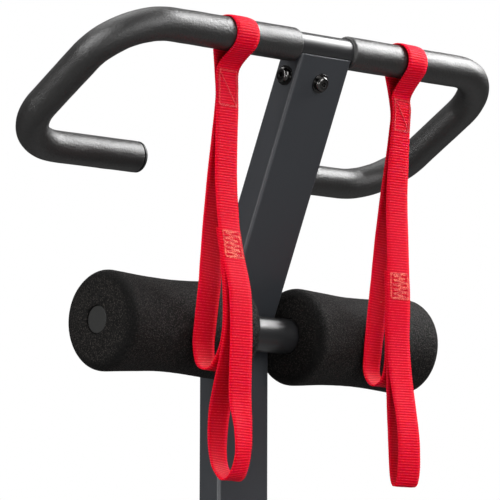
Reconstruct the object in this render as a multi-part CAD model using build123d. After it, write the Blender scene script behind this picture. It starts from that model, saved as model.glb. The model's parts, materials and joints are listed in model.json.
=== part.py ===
from build123d import *
import os
from math import cos, radians, sin, tan

# Roman chair with an ankle-roller mast, a strap handlebar and a split hip pad.
# Millimetres. X is across the machine, +Y runs from the mast towards the hip pad, +Z is up.
# The origin is on the floor, under the middle of the machine's length and width.

# ---- driving dimensions -------------------------------------------------------------------
LENGTH = 1360.0              # wheel fronts to rear feet
AXLE_Z = 900.0               # centre of the ankle-roller axle
PAD_TOP_Z = 770.0            # top of the hip pads
PAD_Y = 400.0                # middle of the hip pads and their post

# mast: a rectangular tube with a mitred lean above the roller axle
MAST_W, MAST_D, MAST_WALL, MAST_CORNER = 70.0, 30.0, 2.0, 3.0
MAST_Y = -412.0              # front face of the upright part
MAST_LEAN = 23.2             # degrees, towards -Y
MAST_BELOW_AXLE = 620.0
BAR_ABOVE_BEND = 285.8       # handlebar axis above the mitre's front edge
COPE_DROP = 4.7              # mast end below the handlebar axis, along the lean
COPE_GAP = 0.3
BOLT_DROP = 32.0             # handlebar bolts below the handlebar axis, along the lean

# handlebar: one bent tube, both wings in one tilted plane
BAR_R, BAR_WALL = 14.0, 2.0
BAR_HALF_W = 266.5           # corner to middle of the cross bar, on the centre line
RETURN_HALF_W = 263.0        # lower corner to middle
RETURN_END = 93.5            # free end of each return to the middle
WING_BACK, WING_DROP = 169.5, 102.5
BAR_BEND_R = 62.5            # all four bends
STEM_W, STEM_D, STEM_WALL, STEM_CORNER, STEM_LEN = 65.4, 25.4, 2.5, 1.5, 130.0
GRIP_R, GRIP_GAP, GRIP_START = 17.0, 0.05, 36.7

# ankle rollers
AXLE_R, AXLE_BORE_R, AXLE_HALF = 18.0, 14.0, 214.0
AXLE_UP = 11.3               # where the leaning face meets the axle, up from the bend
ROLLER_IN, ROLLER_OUT = 39.0, 220.0
ROLLER_R, ROLLER_WAIST_R, ROLLER_SHOULDER = 49.6, 46.0, 12.0
LINER_R, LINER_INSET, LINER_END_GAP = 20.0, 2.0, 0.5
LIP, LIP_BORE_R = 5.0, 14.3
WELD_REACH, WELD_INSET = 8.0, 3.0

# assist straps
STRAP_X, STRAP_W, STRAP_T = 120.0, 30.5, 2.0

# clearances, and plastic plugs in the ends of tubes
RUN_GAP, FIT_GAP, BOLT_GAP, OVERCUT = 0.06, 0.1, 0.4, 1.0
PLUG_LEN, PLUG_LID, PLUG_EDGE = 20.0, 4.0, 1.5
GUIDE_H, GUIDE_PROUD, GUIDE_CORNER, GUIDE_LAP = 6.0, 2.3, 3.0, 25.0

# base
CAP_WALL, CAP_LAP, CAP_CORNER, FOOT_H = 3.0, 45.0, 5.0, 12.0
TUBE_CORNER = 4.0
STAB_D, STAB_H, STAB_WALL = 60.0, 40.0, 2.5
FRONT_STAB_HALF, REAR_STAB_HALF = 260.0, 297.0
BEAM_W, BEAM_H, BEAM_WALL = 60.0, 60.0, 2.5
PLATE_T, PLATE_WING, PLATE_CORNER, BEAM_INSET = 5.0, 26.0, 8.0, 4.0

# transport wheels and their ears on the front stabilizer
WHEEL_R, WHEEL_W, WHEEL_X, WHEEL_CLEAR, WHEEL_GAP = 30.0, 22.0, 190.0, 8.0, 4.0
WHEEL_EDGE, RECESS_R, RECESS_DEPTH, HUB_R, WHEEL_BUSH_R = 4.0, 22.0, 5.0, 11.0, 6.0
WHEEL_END_PLAY = 0.4
EAR_R, EAR_T, EAR_GAP = 11.0, 4.0, 1.0

# sleeves, bushings and their feet on the beam
SLEEVE_WALL, SLEEVE_CORNER, BUSH_WALL = 2.5, 3.0, 2.5
BUSH_GAP, BUSH_LEN, BUSH_FLANGE, BUSH_BRIM = 0.1, 55.0, 5.0, 1.5
MAST_SLEEVE_TOP, PAD_SLEEVE_TOP = 695.0, 560.0
FOOT_PLATE_T, FOOT_PLATE_W, FOOT_PLATE_CORNER, FOOT_MARGIN = 6.0, 120.0, 10.0, 35.0
CHEEK_T, CHEEK_DROP, CHEEK_GAP, CHEEK_INSET, CHEEK_CORNER = 5.0, 45.0, 0.4, 2.0, 12.0
FOOT_BOLT_INSET, FOOT_BOLT_DROP = 15.0, 25.5
RIB_H, RIB_INSET = 60.0, 4.0
BRACE_SIZE, BRACE_WALL, BRACE_CORNER, BRACE_RUN, BRACE_TOP_Z = 30.0, 2.0, 3.0, 225.0, 400.0

# height pins: a row of holes and a sprung plunger, drawn at rest so that the tube may slide
PIN_R, HOLE_R, HOLE_PITCH, HOLE_COUNT = 5.0, 5.3, 40.0, 5
MAST_PIN_Z, PAD_PIN_Z = 600.0, 470.0
HOUSING_R, HOUSING_H, HOUSING_CAP, COLLAR_R, COLLAR_H = 12.0, 26.0, 4.0, 7.4, 3.0
COLLAR_GAP, PIN_ENTRY, PIN_NOSE = 0.6, 2.0, 1.0
COLLAR_AT, KNOB_AT, KNOB_H, KNOB_R, KNOB_CROWN = 14.0, 40.0, 27.0, 16.0, 6.0
SPRING_WIRE_R, SPRING_R, SPRING_TURNS, SPRING_END_GAP = 0.45, 6.3, 4.0, 0.1

# hip pads
PAD_L, PAD_W, PAD_T, PAD_GAP, BOARD_T = 280.0, 170.0, 55.0, 40.0, 12.0
PAD_CORNER, PAD_EDGE, BOARD_INSET = 38.0, 20.0, 8.0
POST_SIZE, POST_WALL, POST_CORNER, POST_LEN = 50.0, 2.0, 3.0, 410.0
HEAD_PLATE_W, HEAD_PLATE_D, PAD_FRAME_BOLT_X = 130.0, 60.0, 45.0
RAIL_T, RAIL_W, RAIL_L, RAIL_X = 6.0, 40.0, 220.0, 105.0
CROSS_H, CROSS_D, CROSS_WALL, CROSS_CORNER = 30.0, 50.0, 2.0, 3.0
PAD_BOLT_SPAN = 80.0         # board bolts either side of the pad's middle
TEE_NUT_WALL, TEE_NUT_GAP = 1.4, 0.1

# fastener sizes: shank radius, across flats, head or nut height
M10, M8, M6 = (5.0, 17.0, 6.4), (4.0, 13.0, 5.3), (3.0, 10.0, 4.0)
BUTTON_R, BUTTON_H, WASHER_R, WASHER_T = 8.0, 4.8, 10.0, 1.6
HANDLEBAR_BOLT_LEN = 16.0

# ---- derived places -----------------------------------------------------------------------
LEAN = radians(MAST_LEAN)
BEND_Z = AXLE_Z + AXLE_R * sin(LEAN) - AXLE_UP * cos(LEAN)
BEND = Vector(0, MAST_Y, BEND_Z)
ALONG = Vector(0, -sin(LEAN), cos(LEAN))       # up the leaning part
DEPTH = Vector(0, cos(LEAN), sin(LEAN))        # from its front face to its back face
BAR_S = (BAR_ABOVE_BEND - MAST_D / 2 * sin(LEAN)) / cos(LEAN)
BAR = BEND + ALONG * BAR_S + DEPTH * (MAST_D / 2)
AXLE = BEND + ALONG * AXLE_UP - DEPTH * AXLE_R
MAST_MID_Y = MAST_Y + MAST_D / 2
STAB_TOP = FOOT_H + STAB_H
BEAM_Z = STAB_TOP + PLATE_T
BEAM_TOP = BEAM_Z + BEAM_H
WHEEL_Y = -LENGTH / 2 + WHEEL_R
FRONT_STAB_Y = WHEEL_Y + WHEEL_R + WHEEL_GAP + STAB_D / 2
REAR_STAB_Y = LENGTH / 2 - CAP_WALL - STAB_D / 2
STAB_BOLT_X = (BEAM_W + PLATE_WING) / 2
SLEEVE_GROWTH = 2 * (SLEEVE_WALL + BUSH_WALL)
PAD_SLEEVE_SIZE = POST_SIZE + SLEEVE_GROWTH
EAR_OUT = WHEEL_W / 2 + EAR_GAP + EAR_T
RAIL_TOP = PAD_TOP_Z - PAD_T - BOARD_T
CROSS_TOP = RAIL_TOP - RAIL_T
POST_TOP = CROSS_TOP - CROSS_H - FOOT_PLATE_T
PAD_X = (PAD_GAP + PAD_W) / 2
SIDES = (("left", -1), ("right", 1))


# ---- helpers ------------------------------------------------------------------------------
def block(x0, x1, y0, y1, z0, z1):
    """Box between two corners."""
    centre = Pos((x0 + x1) / 2, (y0 + y1) / 2, (z0 + z1) / 2)
    return centre * Box(x1 - x0, y1 - y0, z1 - z0)


def rod(start, direction, radius, length):
    """Cylinder from a point along a direction."""
    return extrude(Plane(origin=start, z_dir=direction) * Circle(radius), length)


def drill(start, direction, radius, depth):
    """Cutter for a hole through one wall, a little longer than the wall at both ends."""
    way = Vector(*direction)
    return rod(Vector(*start) - way * OVERCUT, way, radius, depth + 2 * OVERCUT)


def prism(start, direction, across, width, depth, corner, length):
    """Round-cornered bar: width lies along `across`."""
    place = Plane(origin=start, x_dir=across, z_dir=direction)
    outline = RectangleRounded(width, depth, corner) if corner else Rectangle(width, depth)
    return extrude(place * outline, length)


def box_tube(start, direction, across, width, depth, wall, corner, length):
    outer = prism(start, direction, across, width, depth, corner, length)
    inner = prism(start, direction, across, width - 2 * wall, depth - 2 * wall,
                  max(corner - wall, 0.5), length)
    return outer - inner


def hexagon(start, direction, across_flats, height):
    return extrude(Plane(origin=start, z_dir=direction) * RegularPolygon(
        across_flats / 2, 6, major_radius=False), height)


def hex_bolt(start, direction, size, grip):
    """Head behind `start`, shank along `direction`, two millimetres past its nut."""
    radius, flats, head = size
    way = Vector(*direction)
    return (hexagon(start, way * -1, flats, head)
            + rod(start, way, radius, grip + flats / 2 + 2))


def hex_nut(start, direction, size):
    radius, flats, _ = size
    nut = hexagon(start, direction, flats, flats / 2)
    return nut - rod(start, direction, radius + RUN_GAP, flats / 2)


def button_bolt(start, direction, size, grip):
    """Domed head with a hexagon socket behind `start`."""
    radius = size[0]
    way = Vector(*direction)
    out = way * -1
    rim = rod(start, out, BUTTON_R, BUTTON_H)
    top = rim.faces().sort_by(Axis(start, out))[-1]
    head = fillet(top.edges(), BUTTON_H * 0.7)
    socket = hexagon(Vector(*start) + out * (BUTTON_H * 0.4), out, radius * 1.25, BUTTON_H)
    return head - socket + rod(start, way, radius, grip)


def washer(start, direction, size, outer=WASHER_R):
    ring = rod(start, direction, outer, WASHER_T)
    return ring - rod(start, direction, size[0] + BOLT_GAP / 2, WASHER_T)


def rounded_wire(points, radii):
    """Straight runs through the points, with an arc at each inner corner."""
    edges = []
    start = Vector(*points[0])
    corners = zip(points, points[1:], points[2:], radii)
    for before, corner, after, radius in corners:
        corner = Vector(*corner)
        to_start = (Vector(*before) - corner).normalized()
        to_end = (Vector(*after) - corner).normalized()
        half = radians(to_start.get_angle(to_end) / 2)
        reach = radius / tan(half)
        first, last = corner + to_start * reach, corner + to_end * reach
        bisector = (to_start + to_end).normalized()
        middle = corner + bisector * (radius / sin(half) - radius)
        edges += [Line(start, first), ThreePointArc(first, middle, last)]
        start = last
    edges.append(Line(start, points[-1]))
    return Wire(edges)


def pipe(path, radius):
    return sweep(Plane(origin=path @ 0, z_dir=path % 0) * Circle(radius), path=path)


def save(name, *solids):
    """Write one node: a single solid, or a group of separate ones."""
    shape = solids[0] if len(solids) == 1 else Compound(children=list(solids))
    export_step(shape, f"parts/{name}.step")


# ---- mast and handlebar -------------------------------------------------------------------
def bent_bar(width, depth, corner, below, above):
    """Solid bar that follows the mast: upright, then leaning, joined on the mitre plane."""
    mitre = Plane(origin=BEND, z_dir=(0, -sin(LEAN / 2), cos(LEAN / 2)))
    overrun = depth
    foot = Vector(0, MAST_MID_Y, BEND_Z - below)
    upright = prism(foot, (0, 0, 1), (1, 0, 0), width, depth, corner, below + overrun)
    start = BEND + DEPTH * (MAST_D / 2) - ALONG * overrun
    leaning = prism(start, ALONG, (1, 0, 0), width, depth, corner, above + overrun)
    return (split(upright, bisect_by=mitre, keep=Keep.BOTTOM)
            + split(leaning, bisect_by=mitre, keep=Keep.TOP))


def mast():
    below = MAST_BELOW_AXLE + BEND_Z - AXLE_Z
    above = BAR_S - COPE_DROP
    tube = bent_bar(MAST_W, MAST_D, MAST_CORNER, below, above)
    tube -= bent_bar(MAST_W - 2 * MAST_WALL, MAST_D - 2 * MAST_WALL,
                     MAST_CORNER - MAST_WALL, below + OVERCUT, above + OVERCUT)
    tube -= rod(BAR - Vector(MAST_W, 0, 0), (1, 0, 0), BAR_R + COPE_GAP, 2 * MAST_W)
    for row in range(HOLE_COUNT):
        z = MAST_PIN_Z + (row - HOLE_COUNT // 2) * HOLE_PITCH
        tube -= drill((0, MAST_Y, z), (0, 1, 0), HOLE_R, MAST_WALL)
    for start, way in handlebar_bolt_places():
        tube -= drill(start, way, M8[0] + BOLT_GAP, MAST_WALL)
    return tube


def handlebar_bolt_places():
    """Where the handlebar bolts enter: the mast's front face and both of its sides."""
    level = BAR - ALONG * BOLT_DROP
    places = [(level - DEPTH * (MAST_D / 2), DEPTH)]
    for _, side in SIDES:
        places.append((level + Vector(side * MAST_W / 2, 0, 0), Vector(-side, 0, 0)))
    return places


def handlebar_half(side):
    """Centre-line corners of one half, from the cross bar round to the free end."""
    corners = [(BAR_HALF_W, 0, 0), (RETURN_HALF_W, WING_BACK, -WING_DROP),
               (RETURN_END, WING_BACK, -WING_DROP)]
    return [BAR + Vector(side * x, y, z) for x, y, z in corners]


def handlebar():
    path = rounded_wire(handlebar_half(-1)[::-1] + handlebar_half(1), [BAR_BEND_R] * 4)
    stem = box_tube(BAR - ALONG * STEM_LEN, ALONG, (1, 0, 0), STEM_W, STEM_D, STEM_WALL,
                    STEM_CORNER, STEM_LEN)
    for start, way in handlebar_bolt_places():
        stem -= drill(start, way, M8[0] + BOLT_GAP, MAST_WALL + STEM_WALL)
    return stem + pipe(path, BAR_R) - pipe(path, BAR_R - BAR_WALL)


def grip(side):
    points = [BAR + Vector(side * GRIP_START, 0, 0)] + handlebar_half(side)
    path = rounded_wire(points, [BAR_BEND_R] * 2)
    return pipe(path, GRIP_R) - pipe(path, BAR_R + GRIP_GAP)


def handlebar_end_plug(side):
    """Domed lid on the free end, with a barrel inside the tube."""
    end = handlebar_half(side)[-1]
    lid = rod(end, (-side, 0, 0), GRIP_R - 1, PLUG_LID - 1)
    rims = lid.edges().filter_by(GeomType.CIRCLE).sort_by(Axis.X)
    lid = fillet(rims[-1 if side < 0 else 0], PLUG_EDGE)
    return lid + rod(end, (side, 0, 0), BAR_R - BAR_WALL - FIT_GAP, PLUG_LEN)


def foot_guide(foot, width, depth, wall):
    """Plastic plug under a sliding tube: its lid rides inside the sleeve."""
    up, across = (0, 0, 1), (1, 0, 0)
    lid = prism(foot - Vector(0, 0, GUIDE_H), up, across, width + 2 * GUIDE_PROUD,
                depth + 2 * GUIDE_PROUD, GUIDE_CORNER, GUIDE_H)
    return lid + prism(foot, up, across, width - 2 * (wall + FIT_GAP),
                       depth - 2 * (wall + FIT_GAP), 1, GUIDE_LAP)


# ---- ankle rollers ------------------------------------------------------------------------
def roller_axle():
    """Cross tube in the mast's mitre, with its weld fillets."""
    half = MAST_W / 2 - WELD_INSET
    lean_touch = AXLE + DEPTH * AXLE_R
    corners = [Vector(0, MAST_Y, AXLE_Z - WELD_REACH), BEND, lean_touch + ALONG * WELD_REACH, AXLE]
    weld = extrude(Face(Wire.make_polygon([p - Vector(half, 0, 0) for p in corners])),
                   2 * half, dir=(1, 0, 0))
    tube = rod(AXLE - Vector(AXLE_HALF, 0, 0), (1, 0, 0), AXLE_R, 2 * AXLE_HALF)
    bore = rod(AXLE - Vector(AXLE_HALF, 0, 0), (1, 0, 0), AXLE_BORE_R, 2 * AXLE_HALF)
    return tube + weld - bore


def foam_roller(side):
    """Waisted foam sleeve with rounded shoulders and a lip over the axle's end."""
    core = LINER_R + RUN_GAP
    lip_at = ROLLER_OUT - LIP
    crown_in, crown_out = ROLLER_IN + ROLLER_SHOULDER, ROLLER_OUT - ROLLER_SHOULDER
    shoulder_r = ROLLER_R - ROLLER_SHOULDER
    bulge = ROLLER_SHOULDER * (1 - cos(radians(45)))
    middle = (ROLLER_IN + ROLLER_OUT) / 2
    outline = [
        Line((ROLLER_IN, core), (ROLLER_IN, shoulder_r)),
        ThreePointArc((ROLLER_IN, shoulder_r), (ROLLER_IN + bulge, ROLLER_R - bulge),
                      (crown_in, ROLLER_R)),
        ThreePointArc((crown_in, ROLLER_R), (middle, ROLLER_WAIST_R), (crown_out, ROLLER_R)),
        ThreePointArc((crown_out, ROLLER_R), (ROLLER_OUT - bulge, ROLLER_R - bulge),
                      (ROLLER_OUT, shoulder_r)),
        Polyline((ROLLER_OUT, shoulder_r), (ROLLER_OUT, LIP_BORE_R), (lip_at, LIP_BORE_R),
                 (lip_at, core), (ROLLER_IN, core)),
    ]
    face = make_face(outline)
    roller = revolve(face, axis=Axis.X)
    if side < 0:
        roller = mirror(roller, about=Plane.YZ)
    return Pos(*AXLE) * roller


def roller_liner(side):
    start = AXLE + Vector(side * (ROLLER_IN + LINER_INSET), 0, 0)
    length = ROLLER_OUT - LIP - LINER_END_GAP - ROLLER_IN - LINER_INSET
    return (rod(start, (side, 0, 0), LINER_R, length)
            - rod(start, (side, 0, 0), AXLE_R + RUN_GAP, length))


def axle_end_plug(side):
    start = AXLE + Vector(side * (ROLLER_OUT - PLUG_LEN), 0, 0)
    plug = rod(start, (side, 0, 0), AXLE_BORE_R - RUN_GAP, PLUG_LEN)
    rims = plug.edges().filter_by(GeomType.CIRCLE).sort_by(Axis.X)
    return fillet(rims[-1 if side > 0 else 0], PLUG_EDGE)


# ---- assist straps ------------------------------------------------------------------------
def ribbon(x, points):
    """Webbing along a smooth line; points are (behind the bar axis, below the bar axis)."""
    path = Spline([BAR + Vector(x, back, -drop) for back, drop in points])
    section = Plane(origin=path @ 0, x_dir=(1, 0, 0), z_dir=path % 0)
    return sweep(section * Rectangle(STRAP_W, STRAP_T), path=path)


def strap(x):
    """Ring over the bar, a short hand loop behind and a long hand loop below."""
    hang = 11.0                                  # stitching behind the bar's axis
    ring_r = GRIP_R + 0.5
    upper_stitch, lower_stitch = (30.0, 79.0), (196.0, 232.0)
    inner = make_hull(Circle(ring_r).edges() + (Pos(hang, -upper_stitch[0]) * Circle(0.6)).edges())
    outer = make_hull(Circle(ring_r + STRAP_T).edges()
                      + (Pos(hang, -upper_stitch[0]) * Circle(STRAP_T)).edges())
    teardrop = Plane(origin=BAR + Vector(x - STRAP_W / 2, 0, 0),
                     x_dir=(0, 1, 0), z_dir=(1, 0, 0)) * (outer - inner)
    loop = extrude(teardrop, STRAP_W)
    for back, (top, bottom) in ((hang, upper_stitch), (6.0, lower_stitch)):
        loop += block(x - STRAP_W / 2, x + STRAP_W / 2, BAR.Y + back - STRAP_T,
                      BAR.Y + back + STRAP_T, BAR.Z - bottom, BAR.Z - top)
    loop += ribbon(x, ((hang - 1, 77), (12, 127), (10, 171), (5, 199)))
    loop += ribbon(x, ((hang + 1, 77), (20, 146), (28, 205), (34.5, 258), (36.8, 283), (38, 310),
                       (33, 332), (22, 330), (14, 298), (9, 260), (7, 229)))
    loop += ribbon(x, ((5, 229), (-4, 269), (-8, 332), (-9, 401), (4, 443), (18, 411),
                       (15, 352), (10, 284), (7, 229)))
    return loop


# ---- base ---------------------------------------------------------------------------------
def stabilizer(y, half):
    tube = box_tube((-half, y, FOOT_H + STAB_H / 2), (1, 0, 0), (0, 1, 0),
                    STAB_D, STAB_H, STAB_WALL, TUBE_CORNER, 2 * half)
    for side in (-1, 1):
        tube -= drill((side * STAB_BOLT_X, y, FOOT_H), (0, 0, 1), M10[0] + BOLT_GAP, STAB_H)
    return tube


def front_stabilizer():
    """Cross tube with two pairs of wheel ears on its front face."""
    tube = stabilizer(FRONT_STAB_Y, FRONT_STAB_HALF)
    front = FRONT_STAB_Y - STAB_D / 2
    z = WHEEL_CLEAR + WHEEL_R
    for side in (-1, 1):
        for ear in (-1, 1):
            x = side * WHEEL_X + ear * (EAR_OUT - EAR_T / 2) - EAR_T / 2
            plate = block(x, x + EAR_T, WHEEL_Y, front, z - EAR_R, z + EAR_R)
            plate += rod((x, WHEEL_Y, z), (1, 0, 0), EAR_R, EAR_T)
            tube += plate - drill((x, WHEEL_Y, z), (1, 0, 0), M8[0] + BOLT_GAP, EAR_T)
    return tube


def stabilizer_caps():
    """Rubber end caps that carry the machine on the floor."""
    caps = []
    for y, half in ((FRONT_STAB_Y, FRONT_STAB_HALF), (REAR_STAB_Y, REAR_STAB_HALF)):
        for side in (-1, 1):
            start = Vector(side * (half - CAP_LAP), y, FOOT_H + STAB_H / 2)
            way = (side, 0, 0)
            cap = prism(start, way, (0, 1, 0), STAB_D + 2 * CAP_WALL, STAB_H + 2 * CAP_WALL,
                        CAP_CORNER, CAP_LAP + CAP_WALL)
            end = side * (half + CAP_WALL)
            foot = block(min(start.X, end), max(start.X, end), y - STAB_D / 2, y + STAB_D / 2,
                         0, FOOT_H)
            cap += chamfer(foot.edges().group_by(Axis.Z)[0], CAP_WALL)
            cap -= prism(start, way, (0, 1, 0), STAB_D + FIT_GAP, STAB_H + FIT_GAP, TUBE_CORNER,
                         CAP_LAP)
            caps.append(cap)
    return caps


def beam_span():
    return FRONT_STAB_Y - STAB_D / 2 + BEAM_INSET, REAR_STAB_Y + STAB_D / 2 - BEAM_INSET


def base_beam():
    """Floor beam with a welded plate under each end and holes for the upright feet."""
    start, end = beam_span()
    beam = box_tube((0, start, BEAM_Z + BEAM_H / 2), (0, 1, 0), (1, 0, 0),
                    BEAM_W, BEAM_H, BEAM_WALL, TUBE_CORNER, end - start)
    wide, deep = BEAM_W / 2 + PLATE_WING, STAB_D / 2 - BEAM_INSET
    for y in (FRONT_STAB_Y, REAR_STAB_Y):
        plate = block(-wide, wide, y - deep, y + deep, STAB_TOP, BEAM_Z)
        plate = fillet(plate.edges().filter_by(Axis.Z), PLATE_CORNER)
        for side in (-1, 1):
            plate -= drill((side * STAB_BOLT_X, y, STAB_TOP), (0, 0, 1), M10[0] + BOLT_GAP,
                           PLATE_T)
        beam += plate
    for _, y, z in foot_bolt_places():
        beam -= rod((-BEAM_W, y, z), (1, 0, 0), M10[0] + BOLT_GAP, 2 * BEAM_W)
    return beam


def beam_end_cap(side):
    start, end = beam_span()
    y = start if side < 0 else end
    at = Vector(0, y, BEAM_Z + BEAM_H / 2)
    lid = prism(at, (0, side, 0), (1, 0, 0), BEAM_W, BEAM_H, TUBE_CORNER, PLUG_LID)
    size = BEAM_W - 2 * (BEAM_WALL + FIT_GAP)
    corner = TUBE_CORNER - BEAM_WALL
    return lid + prism(at, (0, -side, 0), (1, 0, 0), size, size, corner, PLUG_LEN)


def foot_centres():
    """(y, length) of each upright's foot on the beam."""
    return ((MAST_MID_Y, MAST_D + SLEEVE_GROWTH + 2 * FOOT_MARGIN),
            (PAD_Y, PAD_SLEEVE_SIZE + 2 * FOOT_MARGIN))


def foot_bolt_places():
    """(left cheek's outer face, y, z) of each cross bolt through the beam."""
    x = -BEAM_W / 2 - CHEEK_T - CHEEK_GAP
    z = BEAM_TOP - FOOT_BOLT_DROP
    return [(x, y + step * (length / 2 - FOOT_BOLT_INSET), z)
            for y, length in foot_centres() for step in (-1, 1)]


def sleeve(y, length, width, depth, top, pin_z, pin_side):
    """Upright receiver tube on a saddle foot, with gusset ribs and a pin hole."""
    floor = BEAM_TOP + FOOT_PLATE_T
    tube = box_tube((0, y, floor), (0, 0, 1), (1, 0, 0), width, depth, SLEEVE_WALL,
                    SLEEVE_CORNER, top - floor)
    plate = block(-FOOT_PLATE_W / 2, FOOT_PLATE_W / 2, y - length / 2, y + length / 2,
                  BEAM_TOP, floor)
    tube += fillet(plate.edges().filter_by(Axis.Z), FOOT_PLATE_CORNER)
    for side in (-1, 1):
        face = side * (BEAM_W / 2 + CHEEK_GAP)
        outer = face + side * CHEEK_T
        reach = length / 2 - CHEEK_INSET
        cheek = block(min(face, outer), max(face, outer), y - reach, y + reach,
                      BEAM_TOP - CHEEK_DROP, BEAM_TOP)
        tube += fillet(cheek.edges().filter_by(Axis.X).group_by(Axis.Z)[0], CHEEK_CORNER)
        root = y + side * depth / 2
        tip = y + side * (length / 2 - RIB_INSET)
        rib = Face(Wire.make_polygon([(-CHEEK_T / 2, root, floor), (-CHEEK_T / 2, tip, floor),
                                      (-CHEEK_T / 2, root, floor + RIB_H)]))
        tube += extrude(rib, CHEEK_T, dir=(1, 0, 0))
    for _, bolt_y, z in foot_bolt_places():
        tube -= rod((-BEAM_W, bolt_y, z), (1, 0, 0), M10[0] + BOLT_GAP, 2 * BEAM_W)
    outside = y + pin_side * depth / 2
    return tube - drill((0, outside, pin_z), (0, -pin_side, 0), HOLE_R, SLEEVE_WALL)


def bushing(y, width, depth, top):
    """Flanged plastic collar between a sleeve and the tube that slides in it."""
    up, across = (0, 0, 1), (1, 0, 0)
    start = Vector(0, y, top - BUSH_LEN)
    fill = 2 * BUSH_WALL - FIT_GAP
    body = prism(start, up, across, width + fill, depth + fill, BUSH_BRIM, BUSH_LEN)
    brim = SLEEVE_GROWTH + 2 * BUSH_BRIM
    flange = prism(Vector(0, y, top), up, across, width + brim, depth + brim,
                   TUBE_CORNER, BUSH_FLANGE)
    flange = fillet(flange.edges().group_by(Axis.Z)[-1], BUSH_BRIM)
    hole = prism(start, up, across, width + 2 * BUSH_GAP, depth + 2 * BUSH_GAP,
                 MAST_CORNER + BUSH_GAP, BUSH_LEN + BUSH_FLANGE)
    return body + flange - hole


def brace(wall_y, way):
    """Diagonal tube from an upright's face down to the beam."""
    run, rise = way * BRACE_RUN, BRACE_TOP_Z - BEAM_TOP
    top = Vector(0, wall_y, BRACE_TOP_Z)
    down = Vector(0, run, -rise).normalized()
    spare = 2 * BRACE_SIZE
    tube = box_tube(top - down * spare, down, (1, 0, 0), BRACE_SIZE, BRACE_SIZE, BRACE_WALL,
                    BRACE_CORNER, (BRACE_RUN ** 2 + rise ** 2) ** 0.5 + 2 * spare)
    tube = split(tube, bisect_by=Plane(origin=top, z_dir=(0, way, 0)), keep=Keep.TOP)
    return split(tube, bisect_by=Plane(origin=(0, 0, BEAM_TOP), z_dir=(0, 0, 1)), keep=Keep.TOP)


# ---- height pins --------------------------------------------------------------------------
def pin_housing(face, out):
    tube = rod(face, out, HOUSING_R, HOUSING_H)
    tube -= rod(face, out, COLLAR_R + COLLAR_GAP, HOUSING_H - HOUSING_CAP)
    return tube - rod(face, out, PIN_R + RUN_GAP, HOUSING_H)


def pin_shaft(face, out):
    """Plunger with its nose inside the sleeve's wall and a collar for the spring."""
    nose = rod(face - out * PIN_ENTRY, out, PIN_R, KNOB_AT + KNOB_H - KNOB_CROWN)
    nose = chamfer(nose.edges().filter_by(GeomType.CIRCLE).sort_by(Axis(face, out))[0], PIN_NOSE)
    return nose + rod(face + out * COLLAR_AT, out, COLLAR_R, COLLAR_H)


def pin_knob(face, out):
    """Mushroom knob with a waist for the fingers."""
    skirt, waist = KNOB_R * 0.6, KNOB_R * 0.5
    profile = [
        Line((0, 0), (skirt, 0)),
        ThreePointArc((skirt, 0), (waist, 7), (skirt + 1, 13)),
        ThreePointArc((skirt + 1, 13), (KNOB_R, 19), (skirt, KNOB_H)),
        Line((skirt, KNOB_H), (0, KNOB_H)),
        Line((0, KNOB_H), (0, 0)),
    ]
    body = revolve(Plane.XZ * make_face(profile), axis=Axis.Z)
    placed = Plane(origin=face + out * KNOB_AT, z_dir=out) * body
    return placed - rod(face + out * KNOB_AT, out, PIN_R + RUN_GAP, KNOB_H - KNOB_CROWN)


def pin_spring(face, out):
    """Coil between the plunger's collar and the housing's cap, at its drawn length."""
    start = COLLAR_AT + COLLAR_H + SPRING_WIRE_R + SPRING_END_GAP
    end = HOUSING_H - HOUSING_CAP - SPRING_WIRE_R - SPRING_END_GAP
    coil = Helix(pitch=(end - start) / SPRING_TURNS, height=end - start, radius=SPRING_R)
    section = Plane(origin=coil @ 0, z_dir=coil % 0) * Circle(SPRING_WIRE_R)
    return Plane(origin=face + out * start, z_dir=out) * sweep(section, path=coil, is_frenet=True)


# ---- hip pads -----------------------------------------------------------------------------
def pad_post():
    foot = Vector(0, PAD_Y, POST_TOP - POST_LEN)
    post = box_tube(foot, (0, 0, 1), (1, 0, 0), POST_SIZE, POST_SIZE, POST_WALL, POST_CORNER,
                    POST_LEN)
    for row in range(HOLE_COUNT):
        z = PAD_PIN_Z + (row - HOLE_COUNT // 2) * HOLE_PITCH
        post -= drill((0, PAD_Y + POST_SIZE / 2, z), (0, -1, 0), HOLE_R, POST_WALL)
    plate = block(-HEAD_PLATE_W / 2, HEAD_PLATE_W / 2, PAD_Y - HEAD_PLATE_D / 2,
                  PAD_Y + HEAD_PLATE_D / 2, POST_TOP, POST_TOP + FOOT_PLATE_T)
    plate = fillet(plate.edges().filter_by(Axis.Z), PLATE_CORNER)
    for x, y in pad_frame_bolts():
        plate -= drill((x, y, POST_TOP), (0, 0, 1), M8[0] + BOLT_GAP, FOOT_PLATE_T)
    return post + plate


def pad_frame_bolts():
    return [(side * PAD_FRAME_BOLT_X, PAD_Y) for side in (-1, 1)]


def pad_frame():
    """Cross tube under two flat rails that carry the pad boards."""
    half = RAIL_X + RAIL_W / 2
    frame = box_tube((-half, PAD_Y, CROSS_TOP - CROSS_H / 2), (1, 0, 0), (0, 1, 0),
                     CROSS_D, CROSS_H, CROSS_WALL, CROSS_CORNER, 2 * half)
    for x, y in pad_frame_bolts():
        frame -= drill((x, y, CROSS_TOP - CROSS_H), (0, 0, 1), M8[0] + BOLT_GAP, CROSS_H)
    for side in (-1, 1):
        x = side * RAIL_X
        rail = block(x - RAIL_W / 2, x + RAIL_W / 2, PAD_Y - RAIL_L / 2, PAD_Y + RAIL_L / 2,
                     CROSS_TOP, RAIL_TOP)
        rail = fillet(rail.edges().filter_by(Axis.Z), PLATE_CORNER)
        for step in (-1, 1):
            rail -= drill((x, PAD_Y + step * PAD_BOLT_SPAN, CROSS_TOP), (0, 0, 1),
                          M6[0] + BOLT_GAP, RAIL_T)
        frame += rail
    return frame


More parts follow.
